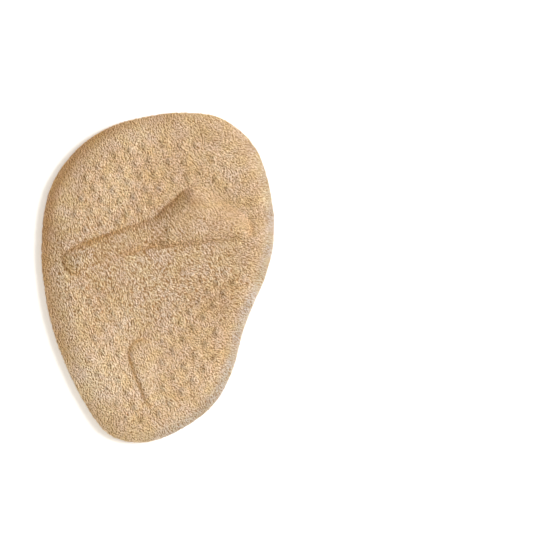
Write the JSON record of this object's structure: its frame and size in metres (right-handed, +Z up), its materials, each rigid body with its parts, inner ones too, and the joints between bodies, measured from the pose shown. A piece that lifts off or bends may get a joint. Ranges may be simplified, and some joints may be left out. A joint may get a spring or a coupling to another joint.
{
  "type": "metatarsal pad",
  "caption": "Soft forefoot cushion with a knitted terry cover, a raised cross ridge, a tear-drop rise, fields of small massage nubs and a tacky flat underside.",
  "frame": {"origin": "on the ground under the middle of the pad's box", "axes": "+Y towards the toes, +X towards the big toe's side of a left foot, +Z up out of the cushioned face"},
  "size_m": [0.0706, 0.1, 0.0066],
  "materials": {
    "terry_cloth": "beige looped terry knit",
    "soft_gel": "milky soft gel",
    "tacky_gel": "smooth tacky gel"
  },
  "bodies": {
    "root": {"cloth_cover": "terry_cloth", "gel_cushion": "soft_gel", "grip_sheet": "tacky_gel"}
  },
  "joints": []
}
